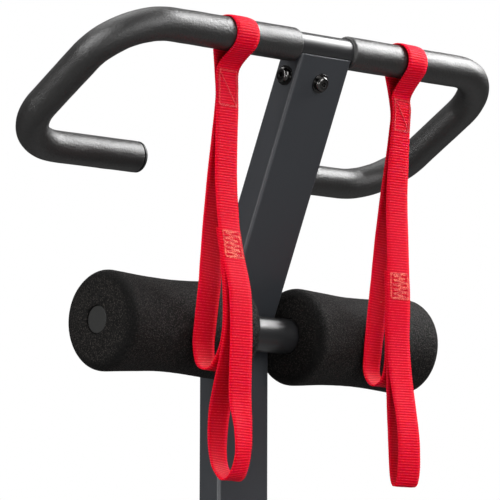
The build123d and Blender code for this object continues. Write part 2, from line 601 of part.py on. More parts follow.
def pad_plate(side, inset, corner, bottom, top):
    """Block under or inside one pad's outline, rounded in plan."""
    x, half_w, half_l = side * PAD_X, PAD_W / 2 - inset, PAD_L / 2 - inset
    plate = block(x - half_w, x + half_w, PAD_Y - half_l, PAD_Y + half_l, bottom, top)
    return fillet(plate.edges().filter_by(Axis.Z), corner)


def pad_board(side):
    board = pad_plate(side, BOARD_INSET, PAD_CORNER - BOARD_INSET, RAIL_TOP, RAIL_TOP + BOARD_T)
    for step in (-1, 1):
        board -= rod((side * RAIL_X, PAD_Y + step * PAD_BOLT_SPAN, RAIL_TOP), (0, 0, 1),
                     M6[0] + TEE_NUT_WALL + TEE_NUT_GAP, BOARD_T)
    return board


def pad(side):
    cushion = pad_plate(side, 0, PAD_CORNER, RAIL_TOP + BOARD_T + 2 * FIT_GAP, PAD_TOP_Z)
    return fillet(cushion.edges().group_by(Axis.Z)[-1], PAD_EDGE)


def pad_board_places():
    return [(side * RAIL_X, PAD_Y + step * PAD_BOLT_SPAN, CROSS_TOP)
            for side in (-1, 1) for step in (-1, 1)]


def tee_nut(x, y):
    """Barrel in the board's hole, inside bored for the bolt."""
    barrel = rod((x, y, RAIL_TOP + 1), (0, 0, 1), M6[0] + TEE_NUT_WALL, BOARD_T - 1)
    return barrel - rod((x, y, RAIL_TOP), (0, 0, 1), M6[0] + RUN_GAP, BOARD_T)


# ---- wheels -------------------------------------------------------------------------------
def wheel(side):
    """Moulded wheel with a rounded tread and a recessed web on both faces."""
    way = (1, 0, 0)
    start = Vector(side * WHEEL_X - WHEEL_W / 2, WHEEL_Y, WHEEL_CLEAR + WHEEL_R)
    body = rod(start, way, WHEEL_R, WHEEL_W)
    body = fillet(body.edges().filter_by(GeomType.CIRCLE), WHEEL_EDGE)
    for along in (0, WHEEL_W - RECESS_DEPTH):
        at = start + Vector(along, 0, 0)
        body -= rod(at, way, RECESS_R, RECESS_DEPTH) - rod(at, way, HUB_R, RECESS_DEPTH)
    return body - rod(start, way, WHEEL_BUSH_R + RUN_GAP, WHEEL_W)


def wheel_bush(side):
    way, length = (1, 0, 0), WHEEL_W + 2 * WHEEL_END_PLAY
    start = Vector(side * WHEEL_X - length / 2, WHEEL_Y, WHEEL_CLEAR + WHEEL_R)
    return rod(start, way, WHEEL_BUSH_R, length) - rod(start, way, M8[0] + RUN_GAP, length)


# ---- write every node ---------------------------------------------------------------------
os.makedirs("parts", exist_ok=True)

save("mast", mast())
save("mast_end_plug", foot_guide(Vector(0, MAST_MID_Y, AXLE_Z - MAST_BELOW_AXLE),
                                 MAST_W, MAST_D, MAST_WALL))
save("handlebar", handlebar())
save("handlebar_end_plugs", handlebar_end_plug(-1), handlebar_end_plug(1))
bolt_places = [(start - way * WASHER_T, way) for start, way in handlebar_bolt_places()]
save("handlebar_bolts", *[button_bolt(start, way, M8, HANDLEBAR_BOLT_LEN)
                          for start, way in bolt_places])
save("handlebar_washers", *[washer(start, way, M8) for start, way in bolt_places])
nut_depth = WASHER_T + (MAST_W - STEM_W) / 2 + STEM_WALL
save("handlebar_weld_nuts", *[hex_nut(start + way * nut_depth, way, M8)
                              for start, way in bolt_places])
save("roller_axle", roller_axle())
save("axle_end_plugs", axle_end_plug(-1), axle_end_plug(1))
for name, side in SIDES:
    save(f"grip_{name}", grip(side))
    save(f"foam_roller_{name}", foam_roller(side))
    save(f"roller_liner_{name}", roller_liner(side))
    save(f"strap_{name}", strap(side * STRAP_X))
    save(f"pad_{name}", pad(side))
    save(f"pad_board_{name}", pad_board(side))
    save(f"wheel_{name}", wheel(side))
    save(f"wheel_bush_{name}", wheel_bush(side))

save("base_beam", base_beam())
save("beam_end_caps", beam_end_cap(-1), beam_end_cap(1))
save("front_stabilizer", front_stabilizer())
save("rear_stabilizer", stabilizer(REAR_STAB_Y, REAR_STAB_HALF))
save("stabilizer_end_caps", *stabilizer_caps())
mast_foot, pad_foot = foot_centres()
save("mast_sleeve", sleeve(*mast_foot, MAST_W + SLEEVE_GROWTH, MAST_D + SLEEVE_GROWTH,
                           MAST_SLEEVE_TOP, MAST_PIN_Z, -1))
save("pad_sleeve", sleeve(*pad_foot, PAD_SLEEVE_SIZE, PAD_SLEEVE_SIZE, PAD_SLEEVE_TOP,
                          PAD_PIN_Z, 1))
save("mast_bushing", bushing(MAST_MID_Y, MAST_W, MAST_D, MAST_SLEEVE_TOP))
save("pad_bushing", bushing(PAD_Y, POST_SIZE, POST_SIZE, PAD_SLEEVE_TOP))
save("mast_brace", brace(MAST_MID_Y + (MAST_D + SLEEVE_GROWTH) / 2, 1))
save("pad_brace", brace(PAD_Y - PAD_SLEEVE_SIZE / 2, -1))

stab_places = [(side * STAB_BOLT_X, y) for y in (FRONT_STAB_Y, REAR_STAB_Y) for side in (-1, 1)]
save("stabilizer_bolts", *[hex_bolt((x, y, BEAM_Z), (0, 0, -1), M10, STAB_H + PLATE_T - 3)
                           for x, y in stab_places])
save("stabilizer_nuts", *[hex_nut((x, y, FOOT_H), (0, 0, -1), M10) for x, y in stab_places])
save("foot_bolts", *[hex_bolt(p, (1, 0, 0), M10, -2 * p[0]) for p in foot_bolt_places()])
save("foot_nuts", *[hex_nut((-x, y, z), (1, 0, 0), M10) for x, y, z in foot_bolt_places()])

pin_faces = (("mast", Vector(0, MAST_Y - SLEEVE_GROWTH / 2, MAST_PIN_Z), Vector(0, -1, 0)),
             ("pad", Vector(0, PAD_Y + PAD_SLEEVE_SIZE / 2, PAD_PIN_Z), Vector(0, 1, 0)))
for name, face, out in pin_faces:
    save(f"{name}_pin_housing", pin_housing(face, out))
    save(f"{name}_pin", pin_shaft(face, out))
    save(f"{name}_pin_knob", pin_knob(face, out))
    save(f"{name}_pin_spring", pin_spring(face, out))

save("pad_post", pad_post())
save("pad_post_plug", foot_guide(Vector(0, PAD_Y, POST_TOP - POST_LEN),
                                 POST_SIZE, POST_SIZE, POST_WALL))
save("pad_frame", pad_frame())
save("pad_frame_bolts", *[hex_bolt((x, y, CROSS_TOP), (0, 0, -1), M8, CROSS_H + FOOT_PLATE_T)
                          for x, y in pad_frame_bolts()])
save("pad_frame_nuts", *[hex_nut((x, y, POST_TOP), (0, 0, -1), M8) for x, y in pad_frame_bolts()])
save("pad_board_bolts", *[hexagon(p, (0, 0, -1), M6[1], M6[2])
                          + rod(p, (0, 0, 1), M6[0], RAIL_T + BOARD_T - 1)
                          for p in pad_board_places()])
save("pad_tee_nuts", *[tee_nut(x, y) for x, y, _ in pad_board_places()])

wheel_z = WHEEL_CLEAR + WHEEL_R
save("wheel_bolts", *[hex_bolt((side * WHEEL_X - EAR_OUT, WHEEL_Y, wheel_z), (1, 0, 0), M8,
                               2 * EAR_OUT) for side in (-1, 1)])
save("wheel_nuts", *[hex_nut((side * WHEEL_X + EAR_OUT, WHEEL_Y, wheel_z), (1, 0, 0), M8)
                     for side in (-1, 1)])
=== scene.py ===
import json
import math
import random

import bmesh
import bpy
from mathutils import Matrix, Vector, noise


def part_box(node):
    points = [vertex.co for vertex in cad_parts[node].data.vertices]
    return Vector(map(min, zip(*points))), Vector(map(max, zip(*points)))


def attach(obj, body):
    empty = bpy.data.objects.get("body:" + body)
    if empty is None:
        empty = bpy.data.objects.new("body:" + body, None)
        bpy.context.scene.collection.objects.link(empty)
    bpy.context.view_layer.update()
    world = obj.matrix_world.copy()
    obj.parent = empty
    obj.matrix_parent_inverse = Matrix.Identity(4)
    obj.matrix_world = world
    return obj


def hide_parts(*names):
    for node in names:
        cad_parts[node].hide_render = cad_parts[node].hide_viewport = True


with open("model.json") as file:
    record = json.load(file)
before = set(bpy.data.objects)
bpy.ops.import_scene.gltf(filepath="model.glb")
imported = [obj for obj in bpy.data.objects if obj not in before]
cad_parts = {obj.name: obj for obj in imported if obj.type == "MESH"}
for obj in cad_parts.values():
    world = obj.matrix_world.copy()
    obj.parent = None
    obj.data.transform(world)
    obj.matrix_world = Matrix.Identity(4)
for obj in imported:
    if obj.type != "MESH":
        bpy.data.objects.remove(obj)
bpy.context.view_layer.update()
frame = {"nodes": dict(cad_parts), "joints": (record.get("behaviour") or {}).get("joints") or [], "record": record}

random.seed(7)

# ---- places taken from the frame ----------------------------------------------------------
JOINTS = {j["name"]: j for j in frame["joints"]}
BAR = Vector(JOINTS["strap_left_swing"]["pos_m"])
BAR.x = 0.0
AXLE = Vector(JOINTS["roller_left_spin"]["pos_m"])
AXLE.x = 0.0
SIDES = (("left", -1), ("right", 1))  # name and sign of x

# ---- sizes of the soft pieces, in metres --------------------------------------------------
# Middle line of the handlebar: half width at the top, half width and free end of the return,
# then how far the return lies behind the top and below it.
BAR_HALF_W, RETURN_HALF_W, RETURN_END = 0.2665, 0.2630, 0.0935
WING_BACK, WING_DROP = 0.1695, 0.1025
BEND_R = 0.0625

# Grips: radius near the middle and at the return, bore, start from the middle, rolled end.
GRIP_R, GRIP_RETURN_R, GRIP_BORE_R = 0.017, 0.0161, 0.01405
GRIP_START, GRIP_ROLL = 0.0367, 0.0026
GRIP_LUMP, FOLD_RISE, FOLD_CREASE = 0.00022, 0.0004, 0.0009
GRIP_STEP = 0.0012

# Ankle rollers: places along the axle, radii of the foam and of the liner inside it, and the
# depths of the lips over the liner's ends.
ROLLER_IN, ROLLER_OUT = 0.0395, 0.2195
ROLLER_LENGTH = ROLLER_OUT - ROLLER_IN
ROLLER_R, ROLLER_WAIST_R, SHOULDER_R = 0.0497, 0.0457, 0.0116
LINER_R, INNER_LIP_R, OUTER_LIP_R, LIP = 0.02006, 0.0184, 0.0143, 0.0016
INNER_LIP_DEPTH, BORE_RING_DEPTH, OUTER_LIP_DEPTH = 0.0008, 0.004, 0.0048
END_DOME = 0.0022
ROLLER_LUMP, ROLLER_GRAIN = 0.00045, 0.00010

# Webbing: ribs across it, yarns along it, and how much its edges and its middle wander.
WEB_W, WEB_T = 0.0305, 0.0019
RIB_PITCH, RIB_H, YARN_PITCH = 0.0027, 0.00009, 0.0011
EDGE_WAVE, EDGE_WOBBLE, WEB_CURL = 0.00016, 0.0002, 0.0006
RING_GAP = 0.0003

# Sewing: threads lie in two passes beside each other, inset from the webbing's edges.
STITCH_PITCH, STITCH_R, STITCH_LIFT, STITCH_WOBBLE = 0.0030, 0.00036, 0.00012, 0.0003
STITCH_SHARE = 0.42
SEW_PASSES = (-0.0005, 0.0006)
SEW_INSET, SEW_SIDE_INSET = 0.0030, 0.0034

# Hip pads: corner seen from above, top edge, room left for the swelling, then the seams.
PAD_CORNER, PAD_EDGE = 0.036, 0.016
PAD_INSET, PAD_TOP_INSET = 0.004, 0.006
PAD_RIPPLE = 0.0007
SEAM_DEPTH, SEAM_REACH, SEAM_SINK = 0.017, 0.005, 0.0012
PIPING_R, SEAM_SHIFT, PAD_STITCH_R, PAD_STITCH_LIFT = 0.0021, 0.0052, 0.0003, 0.0001


# ---- mesh helpers -------------------------------------------------------------------------
def new_object(name, verts, faces, material, uvs=None):
    """Mesh object with one material; uvs holds one (u, v) for each vertex."""
    mesh = bpy.data.meshes.new(name)
    mesh.from_pydata([tuple(v) for v in verts], [], faces)
    mesh.materials.append(material)
    if uvs:
        layer = mesh.uv_layers.new(name="run")
        for loop in mesh.loops:
            layer.data[loop.index].uv = uvs[loop.vertex_index]
    for polygon in mesh.polygons:
        polygon.use_smooth = True
    obj = bpy.data.objects.new(name, mesh)
    bpy.context.scene.collection.objects.link(obj)
    work = bmesh.new()
    work.from_mesh(mesh)
    bmesh.ops.recalc_face_normals(work, faces=work.faces)
    work.to_mesh(mesh)
    work.free()
    return obj


def ring_faces(rings, around, closed_run=False):
    """Quads between neighbouring rings of `around` points each."""
    faces = []
    last = rings if closed_run else rings - 1
    for i in range(last):
        a, b = i * around, ((i + 1) % rings) * around
        for k in range(around):
            n = (k + 1) % around
            faces.append((a + k, a + n, b + n, b + k))
    return faces


def rounded_run(points, radii, step):
    """Dense points along straight runs with arcs at the corners, with each point's bend side.

    Returns (position, towards the bend's centre or None, share of the bend passed)."""
    run = []
    start = points[0]

    def straight(a, b):
        count = max(1, round((b - a).length / step))
        for i in range(count):
            run.append((a.lerp(b, i / count), None, 0.0))

    for before, corner, after, radius in zip(points, points[1:], points[2:], radii):
        to_start, to_end = (before - corner).normalized(), (after - corner).normalized()
        half = to_start.angle(to_end) / 2
        first = corner + to_start * (radius / math.tan(half))
        centre = corner + (to_start + to_end).normalized() * (radius / math.sin(half))
        axis = to_end.cross(to_start).normalized()
        turn = math.pi - 2 * half
        straight(start, first)
        count = max(4, round(radius * turn / step))
        for i in range(count):
            spoke = Matrix.Rotation(turn * i / count, 3, axis) @ (first - centre)
            run.append((centre + spoke, -spoke.normalized(), i / count))
        start = centre + Matrix.Rotation(turn, 3, axis) @ (first - centre)
    straight(start, points[-1])
    run.append((points[-1], None, 0.0))
    return run


def smooth_pair(points, turns, step, per_span=24):
    """Evenly spaced points on a Catmull-Rom curve, with a second value carried along it."""
    dense = []
    ends = [points[0] * 2 - points[1]] + list(points) + [points[-1] * 2 - points[-2]]
    spans = zip(ends, ends[1:], ends[2:], ends[3:], turns, turns[1:])
    for p0, p1, p2, p3, turn, next_turn in spans:
        for i in range(per_span):
            t = i / per_span
            place = 0.5 * (2 * p1 + (p2 - p0) * t + (2 * p0 - 5 * p1 + 4 * p2 - p3) * t * t
                           + (3 * p1 - p0 - 3 * p2 + p3) * t ** 3)
            dense.append((place, turn.lerp(next_turn, t)))
    dense.append((points[-1], turns[-1]))
    line, turning, travelled, target = [dense[0][0]], [dense[0][1]], 0.0, step
    for (a, turn), (b, next_turn) in zip(dense, dense[1:]):
        length = (b - a).length
        while length > 0 and travelled + length >= target:
            share = (target - travelled) / length
            line.append(a.lerp(b, share))
            turning.append(turn.lerp(next_turn, share))
            target += step
        travelled += length
    return line, turning


# ---- material helpers ---------------------------------------------------------------------
class Nodes:
    """Short-hand for building one node material."""

    def __init__(self, name, coords="Object"):
        self.material = bpy.data.materials.new(name)
        self.material.use_nodes = True
        self.tree = self.material.node_tree
        self.shader = self.tree.nodes["Principled BSDF"]
        self.coords = self.add("ShaderNodeTexCoord").outputs[coords]

    def add(self, kind, **values):
        node = self.tree.nodes.new(kind)
        for key, value in values.items():
            if hasattr(node, key):
                setattr(node, key, value)
            else:
                node.inputs[key.replace("_", " ")].default_value = value
        return node

    def link(self, source, target):
        self.tree.links.new(source, target)

    def noise(self, scale, detail=4.0, roughness=0.55, coords=None):
        node = self.add("ShaderNodeTexNoise", Scale=scale, Detail=detail, Roughness=roughness)
        self.link(coords or self.coords, node.inputs["Vector"])
        return node.outputs["Fac"]

    def ramp(self, source, stops):
        node = self.add("ShaderNodeValToRGB")
        ramp = node.color_ramp
        while len(ramp.elements) < len(stops):
            ramp.elements.new(0.5)
        for element, (place, colour) in zip(ramp.elements, stops):
            element.position = place
            element.color = (*colour, 1)
        self.link(source, node.inputs["Fac"])
        return node.outputs["Color"]

    def span(self, source, low, high):
        """Maps 0..1 to low..high."""
        node = self.add("ShaderNodeMapRange")
        node.inputs["To Min"].default_value = low
        node.inputs["To Max"].default_value = high
        self.link(source, node.inputs["Value"])
        return node.outputs["Result"]

    def math(self, operation, *values):
        node = self.add("ShaderNodeMath", operation=operation)
        for socket, value in zip(node.inputs, values):
            if isinstance(value, (int, float)):
                socket.default_value = value
            else:
                self.link(value, socket)
        return node.outputs[0]

    def mix(self, factor, a, b):
        node = self.add("ShaderNodeMix", data_type="RGBA")
        for socket, value in ((node.inputs[0], factor), (node.inputs[6], a), (node.inputs[7], b)):
            if isinstance(value, (int, float)):
                socket.default_value = value
            elif isinstance(value, tuple):
                socket.default_value = (*value, 1)
            else:
                self.link(value, socket)
        return node.outputs[2]

    def bump(self, height, strength, distance, normal=None):
        node = self.add("ShaderNodeBump", Strength=strength, Distance=distance)
        self.link(height, node.inputs["Height"])
        if normal:
            self.link(normal, node.inputs["Normal"])
        return node.outputs["Normal"]

    def soft_edge(self, radius):
        """Normal that rounds sharp edges by this radius."""
        return self.add("ShaderNodeBevel", samples=4, Radius=radius).outputs["Normal"]

    def convex_edge_mask(self, radius, reach):
        """1 on convex edges, 0 on flat faces."""
        bevel = self.add("ShaderNodeBevel", samples=4, Radius=radius)
        geometry = self.add("ShaderNodeNewGeometry")
        dot = self.add("ShaderNodeVectorMath", operation="DOT_PRODUCT")
        self.link(bevel.outputs["Normal"], dot.inputs[0])
        self.link(geometry.outputs["Normal"], dot.inputs[1])
        away = self.math("SUBTRACT", 1.0, dot.outputs["Value"])
        return self.math("MINIMUM", self.math("DIVIDE", away, reach), 1.0)

    def finish(self, colour, roughness, normal=None, **inputs):
        """Feeds the shader; the roughness may be a number, and the rest are other inputs."""
        self.link(colour, self.shader.inputs["Base Color"])
        if isinstance(roughness, float):
            self.shader.inputs["Roughness"].default_value = roughness
        else:
            self.link(roughness, self.shader.inputs["Roughness"])
        if normal:
            self.link(normal, self.shader.inputs["Normal"])
        for name, value in inputs.items():
            self.shader.inputs[name.replace("_", " ")].default_value = value
        return self.material


# ---- materials ----------------------------------------------------------------------------
def powder_coat():
    """Dark blue-grey paint with fine orange peel, lighter on its edges from a painted highlight mixed with wear.
    """
    m = Nodes("powder_coat")
    cloud = m.noise(6.0, 3.0)
    colour = m.mix(cloud, (0.022, 0.024, 0.028), (0.027, 0.029, 0.033))
    # Painted edge highlight mixed with wear: convex edges are lightened towards pale grey, more where the noise is
    # high.
    edge_highlight_and_wear = m.math("MULTIPLY", m.convex_edge_mask(0.0016, 0.06), m.span(m.noise(90.0, 6.0), 0.35, 0.85))
    colour = m.mix(edge_highlight_and_wear, colour, (0.24, 0.252, 0.268))
    peel = m.noise(900.0, 3.0)
    rough = m.span(m.noise(40.0, 4.0), 0.36, 0.44)
    normal = m.bump(peel, 0.10, 0.0004, m.soft_edge(0.0012))
    return m.finish(colour, rough, normal, Specular_IOR_Level=0.45)


def gloss_black():
    m = Nodes("gloss_black")
    colour = m.mix(m.noise(12.0), (0.010, 0.010, 0.011), (0.016, 0.016, 0.017))
    rough = m.span(m.noise(60.0, 5.0), 0.28, 0.34)
    normal = m.bump(m.noise(500.0, 2.0), 0.04, 0.0003, m.soft_edge(0.0006))
    return m.finish(colour, rough, normal, Specular_IOR_Level=0.6)


def grip_foam():
    m = Nodes("grip_foam")
    grain = m.noise(430.0, 4.0, 0.7)
    blotch = m.noise(140.0, 3.0)
    colour = m.mix(grain, (0.007, 0.007, 0.007), (0.016, 0.015, 0.0145))
    rough = m.span(blotch, 0.31, 0.38)
    fine = m.bump(grain, 0.75, 0.0008)
    normal = m.bump(blotch, 0.08, 0.0010, fine)
    return m.finish(colour, rough, normal, Specular_IOR_Level=0.66)


def roller_foam():
    """Matt open-cell foam with pale specks and painted shade on its rounded shoulders."""
    m = Nodes("roller_foam")
    grain = m.noise(360.0, 6.0, 0.85)
    cell = m.add("ShaderNodeTexVoronoi", Scale=560.0)
    m.link(m.coords, cell.inputs["Vector"])
    speck = m.ramp(cell.outputs["Distance"], [(0.08, (1, 1, 1)), (0.42, (0, 0, 0))])
    body = m.ramp(grain, [(0.40, (0.002, 0.002, 0.002)), (0.64, (0.018, 0.0165, 0.0155))])
    colour = m.mix(m.math("MULTIPLY", speck, 0.8), body, (0.085, 0.074, 0.068))
    # Painted shade: the shoulder attribute darkens the colour towards near black on the rounded shoulders.
    shade = m.add("ShaderNodeAttribute", attribute_name="shoulder").outputs["Fac"]
    colour = m.mix(shade, colour, (0.0015, 0.0015, 0.0015))
    normal = m.bump(grain, 1.0, 0.0045)
    return m.finish(colour, 0.66, normal, Specular_IOR_Level=0.12)


def webbing():
    """Ribbed strap: u runs across and v along the webbing, both in metres."""
    m = Nodes("webbing", "UV")
    split = m.add("ShaderNodeSeparateXYZ")
    m.link(m.coords, split.inputs[0])
    along = m.math("MULTIPLY", split.outputs["Y"], 2 * math.pi / RIB_PITCH)
    rib = m.math("MULTIPLY_ADD", m.math("SINE", along), 0.5, 0.5)
    across = m.math("MULTIPLY", split.outputs["X"], 2 * math.pi / YARN_PITCH)
    yarn = m.math("MULTIPLY", m.math("SINE", across), m.math("COSINE", along))
    fuzz = m.noise(850.0, 2.0, 0.8)
    # Painted light: the rib crests get a lighter red and pale pink painted highlights, the rib troughs a painted
    # darker shade, mixed with random fuzz.
    shade = m.math("ADD", m.math("MULTIPLY", rib, 0.45), m.math("MULTIPLY", fuzz, 0.6))
    colour = m.ramp(shade, [(0.28, (0.42, 0.0, 0.010)), (0.52, (0.54, 0.0, 0.016)),
                            (0.70, (0.58, 0.001, 0.020)), (0.88, (0.84, 0.07, 0.09))])
    height = m.math("ADD", rib, m.math("MULTIPLY", yarn, 0.35))
    normal = m.bump(height, 0.30, 0.0005)
    return m.finish(colour, 0.55, normal, Specular_IOR_Level=0.04, Subsurface_Weight=0.6,
                    Subsurface_Radius=(1.0, 0.05, 0.06), Subsurface_Scale=0.004)


def thread(name, pale):
    m = Nodes(name)
    colour = m.ramp(m.noise(260.0, 2.0), [(0.42, (0.58, 0.002, 0.016)), (0.62, pale)])
    return m.finish(colour, 0.40, m.bump(m.noise(3000.0), 0.3, 0.0002), Sheen_Weight=0.2)


def vinyl():
    """Black upholstery with a pebbled grain."""
    m = Nodes("vinyl")
    pebble = m.add("ShaderNodeTexVoronoi", Scale=620.0, feature="DISTANCE_TO_EDGE")
    m.link(m.coords, pebble.inputs["Vector"])
    cell = m.ramp(pebble.outputs["Distance"], [(0.0, (0, 0, 0)), (0.25, (1, 1, 1))])
    colour = m.mix(m.noise(30.0, 5.0), (0.011, 0.011, 0.012), (0.020, 0.020, 0.021))
    rough = m.span(m.noise(25.0, 4.0), 0.40, 0.55)
    normal = m.bump(cell, 0.30, 0.0004)
    return m.finish(colour, rough, normal, Specular_IOR_Level=0.5)


def moulded_plastic(name="moulded_plastic", dark=(0.012, 0.012, 0.013), light=(0.022, 0.022, 0.023),
                    low=0.42, high=0.55, shine=0.5):
    m = Nodes(name)
    colour = m.mix(m.noise(25.0, 4.0), dark, light)
    normal = m.bump(m.noise(1500.0, 3.0), 0.14, 0.0003, m.soft_edge(0.0008))
    return m.finish(colour, m.span(m.noise(50.0), low, high), normal, Specular_IOR_Level=shine)


def zinc_steel(name="zinc_steel", tint=(0.62, 0.62, 0.60), low=0.22, high=0.38):
    m = Nodes(name)
    colour = m.mix(m.noise(45.0, 5.0), tint, tuple(c * 0.82 for c in tint))
    rough = m.span(m.noise(220.0, 5.0), low, high)
    return m.finish(colour, rough, m.bump(m.noise(1200.0), 0.08, 0.0002, m.soft_edge(0.0004)),
                    Metallic=1.0)


def plywood(ply_pitch=0.0030):
    """Dark-stained board with its plies showing at the edges."""
    m = Nodes("plywood")
    split = m.add("ShaderNodeSeparateXYZ")
    m.link(m.coords, split.inputs[0])
    ply = m.math("SINE", m.math("MULTIPLY", split.outputs["Z"], 2 * math.pi / ply_pitch))
    stretch = m.add("ShaderNodeMapping")
    stretch.inputs["Scale"].default_value = (60.0, 6.0, 60.0)
    m.link(m.coords, stretch.inputs["Vector"])
    grain = m.noise(4.0, 8.0, 0.6, coords=stretch.outputs["Vector"])
    colour = m.ramp(grain, [(0.3, (0.040, 0.028, 0.019)), (0.7, (0.085, 0.062, 0.044))])
    colour = m.mix(m.span(ply, 0.0, 0.35), colour, (0.022, 0.015, 0.010))
    return m.finish(colour, 0.6, m.bump(grain, 0.2, 0.0003))


MATERIALS = {
    "frame_paint": powder_coat(),
    "bar_gloss": gloss_black(),
    "grip_foam": grip_foam(),
    "roller_foam": roller_foam(),
    "moulded_plastic": moulded_plastic(),
    "plug_grey": moulded_plastic("plug_grey", (0.016, 0.016, 0.016), (0.022, 0.022, 0.021),
                                 0.5, 0.6, 0.15),
    "rubber": moulded_plastic("rubber", (0.010, 0.010, 0.010), (0.018, 0.018, 0.018), 0.6, 0.75),
    "black_steel": zinc_steel("black_steel", (0.10, 0.098, 0.096), 0.10, 0.20),
    "zinc_steel": zinc_steel(),
    "spring_steel": zinc_steel("spring_steel", (0.40, 0.40, 0.42), 0.25, 0.4),
    "webbing": webbing(),
    "vinyl": vinyl(),
    "plywood": plywood(),
    "wheel_plastic": moulded_plastic("wheel_plastic", (0.02, 0.02, 0.02), (0.03, 0.03, 0.03),
                                     0.35, 0.5),
    "bush_nylon": moulded_plastic("bush_nylon", (0.62, 0.60, 0.52), (0.72, 0.70, 0.62), 0.4, 0.5),
}
THREADS = {"upper": thread("red_thread", (0.76, 0.06, 0.06)),
           "lower": thread("orange_thread", (0.95, 0.24, 0.14))}
for part in frame["record"]["subparts"]:
    node = frame["nodes"][part["node"]]
    node.data.materials.clear()
    node.data.materials.append(MATERIALS[part["material_slot"]])


# ---- foam rollers -------------------------------------------------------------------------
def arc_points(centre, radius, start, end, count):
    """Points on an arc, angles in degrees from the axle's direction."""
    points = []
    for i in range(count + 1):
        a = math.radians(start + (end - start) * i / count)
        points.append((centre[0] + radius * math.cos(a), centre[1] + radius * math.sin(a)))
    return points


def roller_profile():
    """(along the axle from the inner end, radius) round the closed section."""
    length, shoulder, dome = ROLLER_LENGTH, SHOULDER_R, END_DOME
    crown = ROLLER_R - shoulder
    waist_steps, waist_sharpness = 48, 1.25
    profile = [(BORE_RING_DEPTH, LINER_R), (INNER_LIP_DEPTH, LINER_R),
               (INNER_LIP_DEPTH, INNER_LIP_R)]
    profile += arc_points((LIP - dome * 0.6, INNER_LIP_R + LIP), LIP, 270, 180, 6)
    profile += [(-dome * 0.4, 0.028), (-dome * 0.15, 0.034)]
    profile += arc_points((shoulder, crown), shoulder, 180, 90, 22)
    middle = length / 2
    span = middle - shoulder
    for i in range(1, waist_steps):
        x = shoulder + 2 * span * i / waist_steps
        dip = math.cos((x - middle) / span * math.pi / 2) ** waist_sharpness
        profile.append((x, ROLLER_R - (ROLLER_R - ROLLER_WAIST_R) * dip))
    profile += arc_points((length - shoulder, crown), shoulder, 90, 0, 22)
    profile += [(length + dome * 0.35, 0.033), (length + dome * 0.75, 0.025)]
    profile += arc_points((length + dome - LIP, OUTER_LIP_R + LIP), LIP, 0, -90, 6)
    lip_end = length - OUTER_LIP_DEPTH
    profile += [(lip_end, OUTER_LIP_R), (lip_end, LINER_R)]
    return profile


def shoulder_shade(x, r):
    """How much painted shade goes on the foam at its rounded shoulders, 0 elsewhere."""
    if r <= ROLLER_R - SHOULDER_R:
        return 0.0
    from_end = min(x, ROLLER_LENGTH - x) / SHOULDER_R
    return 0.75 * math.sin(math.pi * min(max(from_end, 0.0), 1.0) ** 0.6)


def foam_roller(side_name, side):
    """Foam tube turned from its profile, slightly lumpy where it isn't the bore."""
    profile = roller_profile()
    around, foam_from = 192, 0.022
    verts, shades = [], []
    for k in range(around):
        a = 2 * math.pi * k / around
        for x, r in profile:
            place = Vector((side * (ROLLER_IN + x), r * math.cos(a), r * math.sin(a)))
            shades.append(shoulder_shade(x, r))
            if r > foam_from:
                lump = noise.noise(place * 28.0 + Vector((side * 9.0, 0, 0))) * ROLLER_LUMP
                lump += noise.noise(place * 300.0) * ROLLER_GRAIN
                place += Vector((0, math.cos(a), math.sin(a))) * lump
            verts.append(AXLE + place)
    faces = ring_faces(around, len(profile), closed_run=True)
    obj = new_object(f"ankle_roller_{side_name}", verts, faces, MATERIALS["roller_foam"])
    # The shoulder attribute carries painted shade for the foam's colour.
    obj.data.attributes.new("shoulder", "FLOAT", "POINT").data.foreach_set("value", shades)
    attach(obj, f"roller_{side_name}")
    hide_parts(f"foam_roller_{side_name}")


# ---- handlebar grips ----------------------------------------------------------------------
def grip_run(side):
    """Middle line of one grip, from the bare middle of the bar to the return's free end."""
    corners = [(GRIP_START, 0, 0), (BAR_HALF_W, 0, 0), (RETURN_HALF_W, WING_BACK, -WING_DROP),
               (RETURN_END, WING_BACK, -WING_DROP)]
    points = [BAR + Vector((side * x, y, z)) for x, y, z in corners]
    return rounded_run(points, (BEND_R, BEND_R), GRIP_STEP)


def foam_grip(side_name, side):
    """Stretched foam tube: rolled ends, and small compression folds inside each bend."""
    run = grip_run(side)
    plane = Vector((0, WING_BACK, -WING_DROP)).cross(Vector((1, 0, 0))).normalized()
    around, rings, verts = 72, 0, []
    total = len(run) - 1

    def across_at(i):
        tangent = (run[min(i + 1, total)][0] - run[max(i - 1, 0)][0]).normalized()
        return tangent.cross(plane).normalized()

    for i, (place, inward, passed) in enumerate(run):
        across = across_at(i)
        from_end = min(i, total - i) * GRIP_STEP
        radius = GRIP_R + (GRIP_RETURN_R - GRIP_R) * min(1.0, i / total * 1.25)
        if from_end < GRIP_ROLL:
            rise = math.sqrt(max(GRIP_ROLL ** 2 - (GRIP_ROLL - from_end) ** 2, 0))
            radius -= GRIP_ROLL - rise
        fold = math.sin(passed * math.pi) if inward else 0.0
        for k in range(around):
            a = 2 * math.pi * k / around
            out = across * math.cos(a) + plane * math.sin(a)
            r = radius + noise.noise(place * 55.0 + out * 1.4) * GRIP_LUMP
            if inward:
                inner = max(0.0, out.dot(inward)) ** 1.5
                crease = noise.noise(place * 95.0 + out * 0.5) * FOLD_CREASE
                r += fold * inner * (FOLD_RISE + crease)
            verts.append(place + out * r)
        rings += 1
    for i in list(range(total, -1, -4)) + [0]:
        across = across_at(i)
        for k in range(around):
            a = 2 * math.pi * k / around
            verts.append(run[i][0] + (across * math.cos(a) + plane * math.sin(a)) * GRIP_BORE_R)
        rings += 1
    faces = ring_faces(rings, around, closed_run=True)
    obj = new_object(f"handle_grip_{side_name}", verts, faces, MATERIALS["grip_foam"])
    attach(obj, "mast")
    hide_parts(f"grip_{side_name}")


